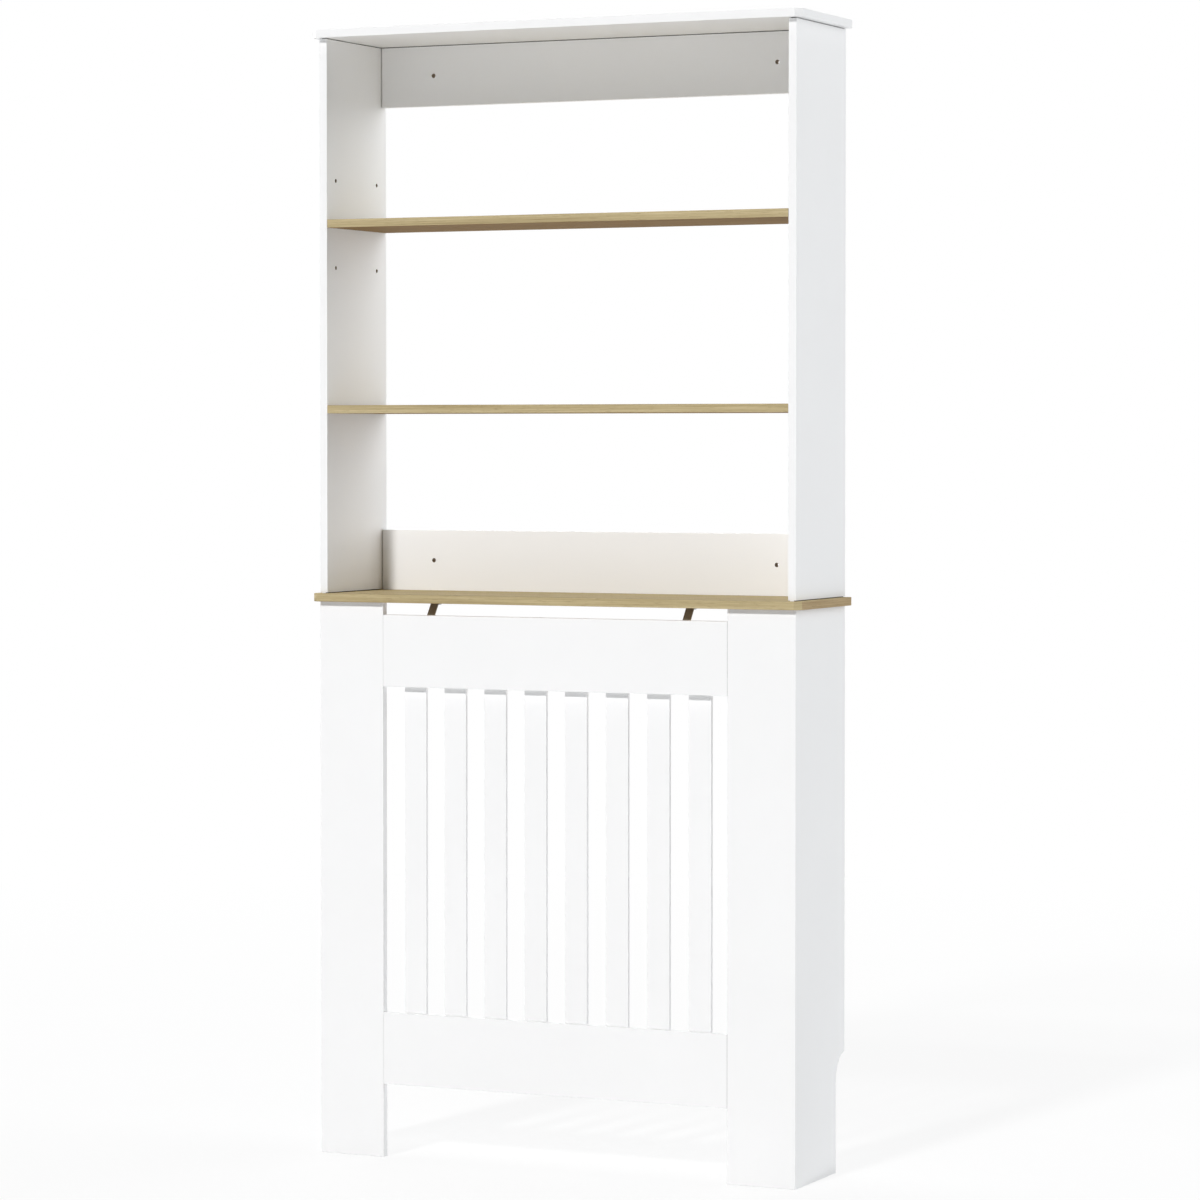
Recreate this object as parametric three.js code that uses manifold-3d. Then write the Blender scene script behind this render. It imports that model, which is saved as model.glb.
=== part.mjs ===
// Radiator cover cabinet: a slatted cover between L-shaped legs, an oak countertop over it, and an open
// tower of shelves standing on the countertop. Millimetres, +Z up, front towards -Y. The origin is the
// middle of the footprint at floor level.
import * as THREE from 'three';
import { mergeVertices } from 'three/addons/utils/BufferGeometryUtils.js';
import Module from 'manifold-3d';

const wasm = await Module();
wasm.setup();

// ---------------------------------------------------------------- driving dimensions
const boardThickness = 12;
const overallHeight = 1650;
const counterHeight = 825; // floor to the countertop's upper face
const bodyWidth = 755; // across the outer faces of the sides
const bodyDepth = 186; // front of the stiles to the wall
const frontOverhang = 10; // countertop and top board beyond the stiles
const sideOverhang = 10; // countertop and top board beyond the sides
const cornerChamfer = 9; // cut off each front corner of those two boards
const backInset = 3; // shelves and back rails stop this far short of the wall

const stileWidth = 104;
const mitreGlue = 0.4; // width of the glue line between stile and side, along X
const grilleRailHeight = 105;
const ventGap = 18; // countertop's underside to the grille's top rail
const footGap = 107.5; // floor to the grille's bottom rail
const slatCount = 8;
const slatWidth = 35;
const slatThickness = 5.5;
const slatLap = 30; // length of slat glued behind each rail

const skirtingDepth = 33; // cut-out that lets the legs pass a skirting board
const skirtingHeight = 132; // straight part of the cut-out
const skirtingRadius = 40;

const fixedShelfRise = 264; // countertop to the underside of the fixed shelf
const liftShelfRise = 536; // countertop to the underside of the adjustable shelf
const backRailHeight = 90;
const wallHoleSetback = 100; // wall-fixing holes, in from the outer faces of the sides
const wallHoleDiameter = 6.5;

const holePitch = 64; // rows of peg holes above and below the shelf
const holeSetback = 27.5; // peg holes, in from the shelf's front and back edges
const pegDiameter = 5;
const pegInSide = 8;
const pegInShelf = 8;
const shelfEndGap = 0.5; // adjustable shelf to each side
const fitGap = 0.3; // round every peg, dowel, bolt and cam, and at their ends

const blindFloor = 3; // wood left behind a blind hole or a cam
const dowelDiameter = 6;
const dowelLength = 24;
const counterDowelLength = 40; // passes through the countertop, from the leg into the tower's side
const counterDowelSetback = 95; // in from the front of the stiles
const camDiameter = 12;
const camSetback = 24; // cam's centre, in from the end of its board
const boltThreadDiameter = 5;
const boltCollarDiameter = 6.4;
const boltCollarLength = 1.4;
const boltNeckDiameter = 3;
const boltHeadDiameter = 5.2;
const boltHeadLength = 3.4;
const railFittingMargin = 25; // cam and dowel, in from the rail's long edges
const shelfFittingMargin = 40; // cam and dowel, in from the fixed shelf's long edges

const braceSetback = 174; // middle of a brace, in from the outer face of the side
const braceWidth = 12.5;
const braceThickness = 2;
const braceFlange = 26; // length screwed to the rail
const braceReach = 24; // length screwed under the countertop
const braceDrop = 6; // lower bend, below the rail's top edge
const braceLean = THREE.MathUtils.degToRad(54); // sloping part above the horizontal
const braceBendRadius = 3; // to the strip's middle
const braceScrewDiameter = 4.2;

// ---------------------------------------------------------------- places worked out from them
const outer = bodyWidth / 2; // outer face of a side
const inner = outer - boardThickness; // inner face of a side
const stileInner = outer - stileWidth;
const counterUnderside = counterHeight - boardThickness;
const topUnderside = overallHeight - boardThickness;
const insetBack = bodyDepth - backInset; // back edge of shelves and rails
const railFront = insetBack - boardThickness;
const topRailTop = counterUnderside - ventGap;
const topRailBottom = topRailTop - grilleRailHeight;
const bottomRailTop = footGap + grilleRailHeight;
const fixedShelfUnderside = counterHeight + fixedShelfRise;
const liftShelfUnderside = counterHeight + liftShelfRise;
const pegRow = liftShelfUnderside + boardThickness / 2; // pegs sit at half the shelf's thickness
const pegRows = [pegRow - holePitch, pegRow, pegRow + holePitch];
const pegColumns = { front: holeSetback, back: insetBack - holeSetback };
const hardwareInSide = boardThickness - blindFloor - fitGap; // blind length of a dowel or bolt
const camHeight = boardThickness - blindFloor;
const sides = { left: -1, right: 1 };

// ---------------------------------------------------------------- finishes
// Each piece gets a material of its own, so a finish is a function that makes one.
function finish(color, roughness, metalness = 0) {
  return () => new THREE.MeshStandardMaterial({ color, roughness, metalness });
}
const whiteLacquer = finish(0xf4f4f2, 0.42);
const oakFoil = finish(0xc4ac80, 0.5);
const bronzedSteel = finish(0x6b5f45, 0.38, 0.8);
const zincSteel = finish(0xb9bcc0, 0.3, 0.9);
const beech = finish(0xc9a06c, 0.7);

// ---------------------------------------------------------------- solids
const { Vector3, Matrix4 } = THREE;
const X = new Vector3(1, 0, 0);
const Y = new Vector3(0, 1, 0);
const Z = new Vector3(0, 0, 1);

// Frame with its own X and Y along the two directions given.
function frameAt(origin, along, up) {
  return new Matrix4().makeBasis(along, up, along.clone().cross(up)).setPosition(...origin);
}

function toSolid(geometry) {
  const bare = geometry.clone();
  bare.deleteAttribute('normal');
  bare.deleteAttribute('uv');
  const welded = mergeVertices(bare, 1e-4);
  return new wasm.Manifold(new wasm.Mesh({
    numProp: 3,
    vertProperties: Float32Array.from(welded.attributes.position.array),
    triVerts: Uint32Array.from(welded.index.array),
  }));
}

function toGeometry(solid) {
  const mesh = solid.getMesh();
  const geometry = new THREE.BufferGeometry();
  geometry.setAttribute('position', new THREE.BufferAttribute(mesh.vertProperties, 3));
  geometry.setIndex(new THREE.BufferAttribute(mesh.triVerts, 1));
  return geometry;
}

// Takes each cutter, which stands in the cabinet's frame, out of a blank that stands in its own.
function carve(blank, place, cutters) {
  const back = place.clone().invert();
  const solid = cutters.reduce(
    (wood, cutter) => wood.subtract(toSolid(cutter.clone().applyMatrix4(back))),
    toSolid(blank),
  );
  return toGeometry(solid);
}

const cabinet = new THREE.Group();
cabinet.name = 'radiator_cover_cabinet';
cabinet.position.y = -(bodyDepth - frontOverhang) / 2;

function addPiece(name, geometry, material, place) {
  const mesh = new THREE.Mesh(geometry, material());
  mesh.name = name;
  mesh.applyMatrix4(place);
  cabinet.add(mesh);
}

// A board is an outline given its thickness, then drilled and cut.
function addBoard(name, outline, thickness, material, place, cutters = []) {
  const blank = new THREE.ExtrudeGeometry(outline, { depth: thickness, bevelEnabled: false });
  addPiece(name, cutters.length ? carve(blank, place, cutters) : blank, material, place);
}

function polygon(points) {
  return new THREE.Shape(points.map(([x, y]) => new THREE.Vector2(x, y)));
}

function rectangle(x0, y0, x1, y1) {
  return polygon([[x0, y0], [x1, y0], [x1, y1], [x0, y1]]);
}

// Round bar along its own X, from one length to another.
function drill(diameter, from, to, segments = 16) {
  return new THREE.CylinderGeometry(diameter / 2, diameter / 2, to - from, segments)
    .rotateZ(-Math.PI / 2)
    .translate((from + to) / 2, 0, 0);
}

// Turned piece along its own X from a list of [length, diameter].
function turned(stations, segments = 12) {
  const profile = stations.map(([length, diameter]) => new THREE.Vector2(diameter / 2, length));
  return new THREE.LatheGeometry(profile, segments).rotateZ(-Math.PI / 2);
}

// ---------------------------------------------------------------- fittings of a butt joint
// A joint's frame starts on the face that the board butts against: X runs into the board and Z comes out
// of the face that shows the cam.
const boltEnd = camSetback + boltHeadLength / 2 - 0.6;

function dowel(start, end) {
  const tip = dowelDiameter - 2;
  return turned([
    [start, 0], [start, tip], [start + 1, dowelDiameter],
    [end - 1, dowelDiameter], [end, tip], [end, 0],
  ]);
}

function camBolt() {
  const collar = boltCollarLength;
  const neckEnd = boltEnd - boltHeadLength;
  const foot = -hardwareInSide;
  return turned([
    [foot, 0], [foot, boltThreadDiameter - 2], [foot + 1.5, boltThreadDiameter],
    [0, boltThreadDiameter], [0, boltCollarDiameter], [collar, boltCollarDiameter],
    [collar + 0.8, boltNeckDiameter], [neckEnd, boltNeckDiameter], [neckEnd + 0.8, boltHeadDiameter],
    [boltEnd - 0.8, boltHeadDiameter], [boltEnd, boltHeadDiameter - 1.6], [boltEnd, 0],
  ]);
}

// The cam is a drum with a claw that is open towards the bolt, and a cross recess on its face.
function camLock() {
  const face = boardThickness / 2;
  const foot = face - camHeight;
  const drum = new THREE.CylinderGeometry(camDiameter / 2, camDiameter / 2, camHeight, 20)
    .rotateX(Math.PI / 2)
    .translate(camSetback, 0, (face + foot) / 2);
  const neckWidth = boltNeckDiameter + 2 * fitGap;
  const headWidth = boltHeadDiameter + 2 * fitGap;
  const headLength = boltHeadLength + 2 * fitGap;
  const block = (x0, x1, width, z0, z1) => new THREE.BoxGeometry(x1 - x0, width, z1 - z0)
    .translate((x0 + x1) / 2, 0, (z0 + z1) / 2);
  const rim = camSetback - camDiameter / 2 - 1;
  const headEnd = boltEnd + fitGap;
  const recess = { length: 7, width: 1.3, depth: 1.6 };
  const cuts = [
    block(rim, headEnd - 1, neckWidth, foot - 1, neckWidth / 2),
    block(headEnd - headLength, headEnd, headWidth, foot - 1, headWidth / 2),
    new THREE.BoxGeometry(recess.length, recess.width, 2 * recess.depth).translate(camSetback, 0, face),
    new THREE.BoxGeometry(recess.width, recess.length, 2 * recess.depth).translate(camSetback, 0, face),
  ];
  return carve(drum, new Matrix4(), cuts);
}

// The holes for them, a clearance larger.
function dowelHole(start, end) {
  return drill(dowelDiameter + 2 * fitGap, start - fitGap, end + fitGap);
}

function boltHole() {
  const inSide = drill(boltThreadDiameter + 2 * fitGap, -hardwareInSide - fitGap, 1);
  const inBoard = drill(boltCollarDiameter + 2 * fitGap, 0, camSetback);
  return toGeometry(toSolid(inSide).add(toSolid(inBoard)));
}

function camPocket() {
  const face = boardThickness / 2;
  const floor = face - camHeight - fitGap;
  const above = face + 1;
  return new THREE.CylinderGeometry(camDiameter / 2 + fitGap, camDiameter / 2 + fitGap, above - floor, 20)
    .rotateX(Math.PI / 2)
    .translate(camSetback, 0, (above + floor) / 2);
}

// Both ends of a board held by a dowel and a cam each. It adds the fittings and returns the cutters for the
// board and for what it butts against; both sides take the same holes.
function cammedEnds(member, jointPlane, dowelAt, camAt, camFace) {
  const cutters = { left: [], right: [] };
  const dowelSpan = [-hardwareInSide, dowelLength - hardwareInSide];
  for (const [side, sign] of Object.entries(sides)) {
    const into = X.clone().multiplyScalar(-sign);
    const across = camFace.clone().cross(into);
    const dowelFrame = frameAt([sign * jointPlane, ...dowelAt], into, across);
    const camFrame = frameAt([sign * jointPlane, ...camAt], into, across);
    addPiece(`dowel_${member}_${side}`, dowel(...dowelSpan), beech, dowelFrame);
    addPiece(`cam_bolt_${member}_${side}`, camBolt(), zincSteel, camFrame);
    addPiece(`cam_lock_${member}_${side}`, camLock(), zincSteel, camFrame);
    cutters[side].push(
      dowelHole(...dowelSpan).applyMatrix4(dowelFrame),
      boltHole().applyMatrix4(camFrame),
      camPocket().applyMatrix4(camFrame),
    );
  }
  return { ...cutters, both: [...cutters.left, ...cutters.right] };
}

// A rail shows its cams behind. Its dowels are near one long edge and its cams near the other.
function railFittings(member, jointPlane, front, dowelEdge, camEdge) {
  const middle = front + boardThickness / 2;
  const inwards = Math.sign(camEdge - dowelEdge) * railFittingMargin;
  const dowelAt = [middle, dowelEdge + inwards];
  const camAt = [middle, camEdge - inwards];
  return cammedEnds(member, jointPlane, dowelAt, camAt, Y);
}

const upperRailBottom = topUnderside - backRailHeight;
const lowerRailTop = counterHeight + backRailHeight;
const upperBackRail = railFittings('upper_back_rail', inner, railFront, upperRailBottom, topUnderside);
const lowerBackRail = railFittings('lower_back_rail', inner, railFront, counterHeight, lowerRailTop);
const topRail = railFittings('grille_top_rail', stileInner, 0, topRailBottom, topRailTop);
const bottomRail = railFittings('grille_bottom_rail', stileInner, 0, bottomRailTop, footGap);
const fixedShelf = cammedEnds(
  'middle_shelf',
  inner,
  [shelfFittingMargin, fixedShelfUnderside + boardThickness / 2],
  [insetBack - shelfFittingMargin, fixedShelfUnderside + boardThickness / 2],
  Z.clone().negate(),
);

// One upright dowel on each side passes through the countertop and ties leg, countertop and tower together.
const counterDowelHoles = {};
for (const [side, sign] of Object.entries(sides)) {
  const across = sign * (outer - boardThickness / 2);
  const place = frameAt([across, counterDowelSetback, counterHeight - boardThickness / 2], Z, X);
  const span = [-counterDowelLength / 2, counterDowelLength / 2];
  addPiece(`dowel_countertop_${side}`, dowel(...span), beech, place);
  counterDowelHoles[side] = dowelHole(...span).applyMatrix4(place);
}

// ---------------------------------------------------------------- countertop and top board
// Both have the same plan: flush with the wall behind, proud at the front and sides, front corners cut off.
const overhungPlan = polygon([
  [-outer - sideOverhang, bodyDepth],
  [-outer - sideOverhang, cornerChamfer - frontOverhang],
  [cornerChamfer - outer - sideOverhang, -frontOverhang],
  [outer + sideOverhang - cornerChamfer, -frontOverhang],
  [outer + sideOverhang, cornerChamfer - frontOverhang],
  [outer + sideOverhang, bodyDepth],
]);
const lifted = (height) => new Matrix4().makeTranslation(0, 0, height);
addBoard('top_board', overhungPlan, boardThickness, whiteLacquer, lifted(topUnderside));
addBoard(
  'countertop',
  overhungPlan,
  boardThickness,
  oakFoil,
  lifted(counterUnderside),
  Object.values(counterDowelHoles),
);

// ---------------------------------------------------------------- shelf tower
// Outlines of the sides are drawn as seen from the right: X is the depth and Y the height.
const sideFrame = (x) => frameAt([x, 0, 0], Y, Z);
const innerFaceHole = (sign, y, z) => drill(pegDiameter + 2 * fitGap, -pegInSide - fitGap, 1)
  .applyMatrix4(frameAt([sign * inner, y, z], X.clone().multiplyScalar(-sign), Y));

for (const [side, sign] of Object.entries(sides)) {
  const columns = Object.values(pegColumns);
  const pegHoles = pegRows.flatMap((z) => columns.map((y) => innerFaceHole(sign, y, z)));
  const jointHoles = [...upperBackRail[side], ...lowerBackRail[side], ...fixedShelf[side]];
  addBoard(
    `upper_side_${side}`,
    rectangle(0, counterHeight, bodyDepth, topUnderside),
    boardThickness,
    whiteLacquer,
    sideFrame(sign > 0 ? inner : -outer),
    [...pegHoles, ...jointHoles, counterDowelHoles[side]],
  );
}

addBoard(
  'middle_shelf',
  rectangle(-inner, 0, inner, insetBack),
  boardThickness,
  oakFoil,
  lifted(fixedShelfUnderside),
  fixedShelf.both,
);

// The adjustable shelf has a groove over each peg, open below and at the end, so that it drops over the
// pegs and hides them.
function pegGroove(sign, y) {
  const half = pegDiameter / 2 + fitGap;
  const outline = new THREE.Shape();
  outline.moveTo(-half, -boardThickness);
  outline.lineTo(half, -boardThickness);
  outline.lineTo(half, 0);
  outline.absarc(0, 0, half, 0, Math.PI, false);
  const reach = pegInShelf + fitGap;
  const depth = reach + 1;
  const end = sign > 0 ? inner - reach : -inner - 1;
  return new THREE.ExtrudeGeometry(outline, { depth, bevelEnabled: false, curveSegments: 6 })
    .applyMatrix4(frameAt([end, y, pegRow], Y, Z));
}

const shelfEnd = inner - shelfEndGap;
const grooves = Object.values(sides).flatMap((sign) => [
  pegGroove(sign, pegColumns.front),
  pegGroove(sign, pegColumns.back),
]);
addBoard(
  'upper_shelf',
  rectangle(-shelfEnd, 0, shelfEnd, insetBack),
  boardThickness,
  oakFoil,
  lifted(liftShelfUnderside),
  grooves,
);

for (const [side, sign] of Object.entries(sides)) {
  for (const [column, y] of Object.entries(pegColumns)) {
    const tip = pegDiameter - 1;
    const stations = [
      [-pegInSide, 0], [-pegInSide, tip], [0.5 - pegInSide, pegDiameter],
      [pegInShelf - 0.5, pegDiameter], [pegInShelf, tip], [pegInShelf, 0],
    ];
    const place = frameAt([sign * inner, y, pegRow], X.clone().multiplyScalar(-sign), Y);
    addPiece(`shelf_peg_${column}_${side}`, turned(stations), zincSteel, place);
  }
}

// ---------------------------------------------------------------- back rails
// Outlines of upright boards across the cabinet are drawn as seen from the front: X is the width and Y the
// height.
const frontFrame = (back) => frameAt([0, back, 0], X, Z);
const wallHole = (sign, z) => drill(wallHoleDiameter, railFront - 1, insetBack + 1)
  .applyMatrix4(frameAt([sign * (outer - wallHoleSetback), 0, z], Y, Z));

function addBackRail(name, bottom, fittings) {
  const wallHoles = Object.values(sides).map((sign) => wallHole(sign, bottom + backRailHeight / 2));
  addBoard(
    name,
    rectangle(-inner, bottom, inner, bottom + backRailHeight),
    boardThickness,
    whiteLacquer,
    frontFrame(insetBack),
    [...fittings.both, ...wallHoles],
  );
}
addBackRail('upper_back_rail', upperRailBottom, upperBackRail);
addBackRail('lower_back_rail', counterHeight, lowerBackRail);

// ---------------------------------------------------------------- legs
// Stile and side meet in a mitre, so that no board edge shows at the front corner. Their plans stand
// upright.
const stilePlan = polygon([
  [stileInner, 0],
  [outer - mitreGlue, 0],
  [inner - mitreGlue, boardThickness],
  [stileInner, boardThickness],
]);
const sidePlan = polygon([
  [outer, 0],
  [outer, bodyDepth],
  [inner, bodyDepth],
  [inner, boardThickness],
]);
const mirrored = (shape, sign) => polygon(shape.getPoints().map(({ x, y }) => [sign * x, y]));

// The cut-out rises straight from the floor and ends in a quarter round that runs out at the wall.
function skirtingCut() {
  const front = bodyDepth - skirtingDepth;
  const beyond = bodyDepth + skirtingRadius;
  const outline = new THREE.Shape();
  outline.moveTo(beyond, -1);
  outline.lineTo(beyond, skirtingHeight + skirtingRadius);
  outline.lineTo(front + skirtingRadius, skirtingHeight + skirtingRadius);
  outline.absarc(front + skirtingRadius, skirtingHeight, skirtingRadius, Math.PI / 2, Math.PI, false);
  outline.lineTo(front, -1);
  const width = bodyWidth + 2;
  return new THREE.ExtrudeGeometry(outline, { depth: width, bevelEnabled: false, curveSegments: 16 })
    .applyMatrix4(sideFrame(-width / 2));
}

for (const [side, sign] of Object.entries(sides)) {
  const floor = new Matrix4();
  addBoard(
    `front_stile_${side}`,
    mirrored(stilePlan, sign),
    counterUnderside,
    whiteLacquer,
    floor,
    [...topRail[side], ...bottomRail[side]],
  );
  addBoard(
    `lower_side_${side}`,
    mirrored(sidePlan, sign),
    counterUnderside,
    whiteLacquer,
    floor,
    [skirtingCut(), counterDowelHoles[side]],
  );
}

// ---------------------------------------------------------------- grille
function addGrilleRail(name, bottom, fittings) {
  addBoard(
    name,
    rectangle(-stileInner, bottom, stileInner, bottom + grilleRailHeight),
    boardThickness,
    whiteLacquer,
    frontFrame(boardThickness),
    fittings.both,
  );
}
addGrilleRail('grille_top_rail', topRailBottom, topRail);
addGrilleRail('grille_bottom_rail', footGap, bottomRail);

// Slats are glued behind the rails, with equal gaps between them and beside the stiles.
const slatGap = (2 * stileInner - slatCount * slatWidth) / (slatCount + 1);
for (let index = 0; index < slatCount; index += 1) {
  const left = -stileInner + slatGap + index * (slatWidth + slatGap);
  addBoard(
    `slat_${index + 1}`,
    rectangle(left, bottomRailTop - slatLap, left + slatWidth, topRailBottom + slatLap),
    slatThickness,
    whiteLacquer,
    frontFrame(boardThickness + slatThickness),
  );
}

// ---------------------------------------------------------------- braces
// Points along a bent strip's middle line: straight runs joined by arcs of one radius.
function bentLine(corners, radius) {
  const bends = corners.slice(1, -1).map((at, i) => {
    const before = corners[i].clone().sub(at).normalize();
    const after = corners[i + 2].clone().sub(at).normalize();
    const half = Math.acos(before.dot(after)) / 2;
    const bisector = before.clone().add(after).normalize();
    const centre = at.clone().addScaledVector(bisector, radius / Math.sin(half));
    const start = at.clone().addScaledVector(before, radius / Math.tan(half)).sub(centre);
    const end = at.clone().addScaledVector(after, radius / Math.tan(half)).sub(centre);
    const arc = new THREE.Path();
    arc.absarc(centre.x, centre.y, radius, start.angle(), end.angle(), start.cross(end) < 0);
    return arc.getPoints(4);
  });
  return [corners[0], ...bends.flat(), corners.at(-1)];
}

// The strip's side outline: its middle line offset by half its thickness each way.
function stripOutline(points, thickness) {
  const offset = (side) => points.map((point, i) => {
    const before = points[Math.max(i - 1, 0)];
    const after = points[Math.min(i + 1, points.length - 1)];
    const into = point.clone().sub(before).normalize();
    const out = after.clone().sub(point).normalize();
    const along = into.clone().add(out).normalize();
    const stretch = i > 0 && i < points.length - 1 ? into.dot(along) : 1;
    const normal = new THREE.Vector2(-along.y, along.x);
    return point.clone().addScaledVector(normal, (side * thickness) / 2 / stretch);
  });
  return new THREE.Shape([...offset(1), ...offset(-1).reverse()]);
}

const railFace = boardThickness + braceThickness / 2; // middle of the strip on the rail's back
const counterFace = counterUnderside - braceThickness / 2;
const lowerBend = topRailTop - braceDrop;
const upperBend = railFace + (counterFace - lowerBend) / Math.tan(braceLean);
const braceLine = bentLine([
  new THREE.Vector2(railFace, lowerBend - braceFlange),
  new THREE.Vector2(railFace, lowerBend),
  new THREE.Vector2(upperBend, counterFace),
  new THREE.Vector2(upperBend + braceReach, counterFace),
], braceBendRadius);

for (const [side, sign] of Object.entries(sides)) {
  const middle = sign * (outer - braceSetback);
  const screwHole = drill(braceScrewDiameter, -1, 2 * braceThickness);
  const flangeHole = screwHole.clone()
    .applyMatrix4(frameAt([middle, boardThickness, lowerBend - braceFlange * 0.6], Y, Z));
  const reachHole = screwHole.clone()
    .applyMatrix4(frameAt([middle, upperBend + braceReach * 0.6, counterUnderside], Z.clone().negate(), X));
  addBoard(
    `brace_${side}`,
    stripOutline(braceLine, braceThickness),
    braceWidth,
    bronzedSteel,
    sideFrame(middle - braceWidth / 2),
    [flangeHole, reachHole],
  );
}

export default cabinet;
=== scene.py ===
# %% [markdown]
# # A radiator cover cabinet
#
# The object is a flat-pack cabinet: a slatted cover between two L-shaped legs, an oak-effect countertop, and
# an open tower of shelves. A measured frame of its 60 pieces already exists, in metres, with +Z up and the
# front towards -Y. This notebook adds what a joiner and a paint shop would: eased edges, drilled holes,
# lacquer, oak foil and the small fasteners. The first cell loads the frame and keeps its box, because nothing
# that is made here may grow past it.

# %% Load the measured frame
import math

import bpy
import numpy as np
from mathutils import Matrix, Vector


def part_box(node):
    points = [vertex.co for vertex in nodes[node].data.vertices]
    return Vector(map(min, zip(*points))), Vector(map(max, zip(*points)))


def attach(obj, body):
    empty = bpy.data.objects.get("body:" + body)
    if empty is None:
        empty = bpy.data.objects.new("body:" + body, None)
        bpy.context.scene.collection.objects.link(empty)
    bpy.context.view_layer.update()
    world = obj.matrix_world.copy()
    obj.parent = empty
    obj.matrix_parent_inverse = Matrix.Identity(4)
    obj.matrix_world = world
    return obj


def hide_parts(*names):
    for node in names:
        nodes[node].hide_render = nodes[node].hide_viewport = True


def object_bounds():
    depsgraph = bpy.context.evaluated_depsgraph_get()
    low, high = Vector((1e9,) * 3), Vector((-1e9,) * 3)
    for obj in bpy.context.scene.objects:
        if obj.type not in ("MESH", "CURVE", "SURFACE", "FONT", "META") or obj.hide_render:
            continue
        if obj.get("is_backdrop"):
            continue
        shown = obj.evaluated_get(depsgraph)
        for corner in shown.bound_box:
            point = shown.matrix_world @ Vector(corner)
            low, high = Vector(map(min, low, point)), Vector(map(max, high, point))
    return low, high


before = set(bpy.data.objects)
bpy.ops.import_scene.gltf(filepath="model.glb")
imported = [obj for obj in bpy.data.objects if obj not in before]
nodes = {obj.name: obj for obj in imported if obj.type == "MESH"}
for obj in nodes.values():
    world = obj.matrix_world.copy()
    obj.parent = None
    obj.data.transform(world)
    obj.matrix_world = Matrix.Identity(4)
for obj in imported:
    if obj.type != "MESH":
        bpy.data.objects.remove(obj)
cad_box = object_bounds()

scene = bpy.context.scene
scene.view_settings.view_transform = "Standard"
print("box in metres", [round(side, 4) for side in cad_box[1] - cad_box[0]])

# %% [markdown]
# ## The camera
#
# A long lens stands more than six metres away, to the right of the cabinet, and looks down by 1.6 degrees. It
# could be aimed with a Track To constraint. Plain angles are used instead, because they are what a fit of the
# cabinet's corners to the photograph gives. The small vertical shift keeps the upright boards nearly parallel
# in the picture without tilting the camera further.

# %% Camera
FRAME_SIDE = 1200  # the picture is a square of this many pixels
FOCAL_LENGTH = 4245.3  # in the same pixels
HORIZON_SHIFT = -0.0364  # of the picture's side
SENSOR_WIDTH = 36  # millimetres
STANDPOINT = (2.6285, -5.5691, 1.0533)
LOOK_DOWN, TURN_LEFT = 1.6, 24.971  # degrees, from a level look along +Y

lens = bpy.data.cameras.new("camera")
lens.sensor_width = SENSOR_WIDTH
lens.lens = FOCAL_LENGTH / FRAME_SIDE * SENSOR_WIDTH
lens.shift_y = HORIZON_SHIFT
camera = bpy.data.objects.new("camera", lens)
camera.location = STANDPOINT
camera.rotation_euler = (math.radians(90 - LOOK_DOWN), 0, math.radians(TURN_LEFT))
scene.collection.objects.link(camera)
scene.camera = camera
print("lens of", round(lens.lens, 1), "mm")

# %% [markdown]
# ## Writing shaders as expressions
#
# Every finish below is a tree of nodes. Linking them one by one hides the idea, so two small classes do it. A
# `Wire` is the output of a node: arithmetic on it adds the Math nodes that the expression stands for. `Tree`
# has one method, `node`, that adds any other node: it takes the node's type, then its settings, then a value
# or a wire for each socket.

# %% Wire and Tree
class Wire:
    """The output of a node. Each operator adds the Math node that it stands for."""

    def __init__(self, tree, socket):
        self.tree, self.socket = tree, socket

    def math(self, operation, first, second):
        return self.tree.node("Math", {"operation": operation}, {0: first, 1: second})

    def __add__(self, other):
        return self.math("ADD", self, other)

    def __sub__(self, other):
        return self.math("SUBTRACT", self, other)

    def __rsub__(self, other):
        return self.math("SUBTRACT", other, self)

    def __mul__(self, other):
        return self.math("MULTIPLY", self, other)

    def __gt__(self, other):
        return self.math("GREATER_THAN", self, other)

    __radd__ = __add__
    __rmul__ = __mul__


class Tree:
    """The node tree of a material or of the world, emptied to start with."""

    def __init__(self, owner):
        owner.use_nodes = True
        self.owner, self.nodes = owner, owner.node_tree.nodes
        self.nodes.clear()

    def node(self, kind, settings=None, sockets=None, output=0):
        """Adds a node: its settings first, then a value or a wire into each socket that is named."""
        made = self.nodes.new("ShaderNode" + kind)
        for name, value in (settings or {}).items():
            if name == "stops":
                for stop, (made_at, colour) in zip(self.stops(made, len(value)), value):
                    stop.position, stop.color = made_at, (*colour, 1)
            else:
                setattr(made, name, value)
        for name, value in (sockets or {}).items():
            if isinstance(value, Wire):
                self.owner.node_tree.links.new(value.socket, made.inputs[name])
            else:
                made.inputs[name].default_value = value
        return Wire(self, made.outputs[output]) if made.outputs else None

    @staticmethod
    def stops(ramp_node, count):
        """The stops of a Color Ramp, as many as asked for."""
        elements = ramp_node.color_ramp.elements
        while len(elements) < count:
            elements.new(1.0)
        return elements

    def noise(self, place, stretch, detail=2.0, roughness=0.5):
        """Noise from 0 to 1 whose grain is 1/stretch metres long along each axis."""
        scaled = self.node("Mapping", None, {"Vector": place, "Scale": stretch})
        sockets = {"Vector": scaled, "Scale": 1.0, "Detail": detail, "Roughness": roughness}
        return self.node("TexNoise", None, sockets)

    def bump(self, height, depth):
        """A normal tilted by a height from 0 to 1 that stands for depth in metres."""
        return self.node("Bump", None, {"Height": height, "Distance": depth, "Strength": 1.0})


def finish(name, paint):
    """A material: paint gets the tree and returns the values and wires of its Principled shader."""
    material = bpy.data.materials.new(name)
    tree = Tree(material)
    shader = tree.node("BsdfPrincipled", None, paint(tree))
    tree.node("OutputMaterial", None, {"Surface": shader})
    return material


print("shader toolkit ready")

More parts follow.
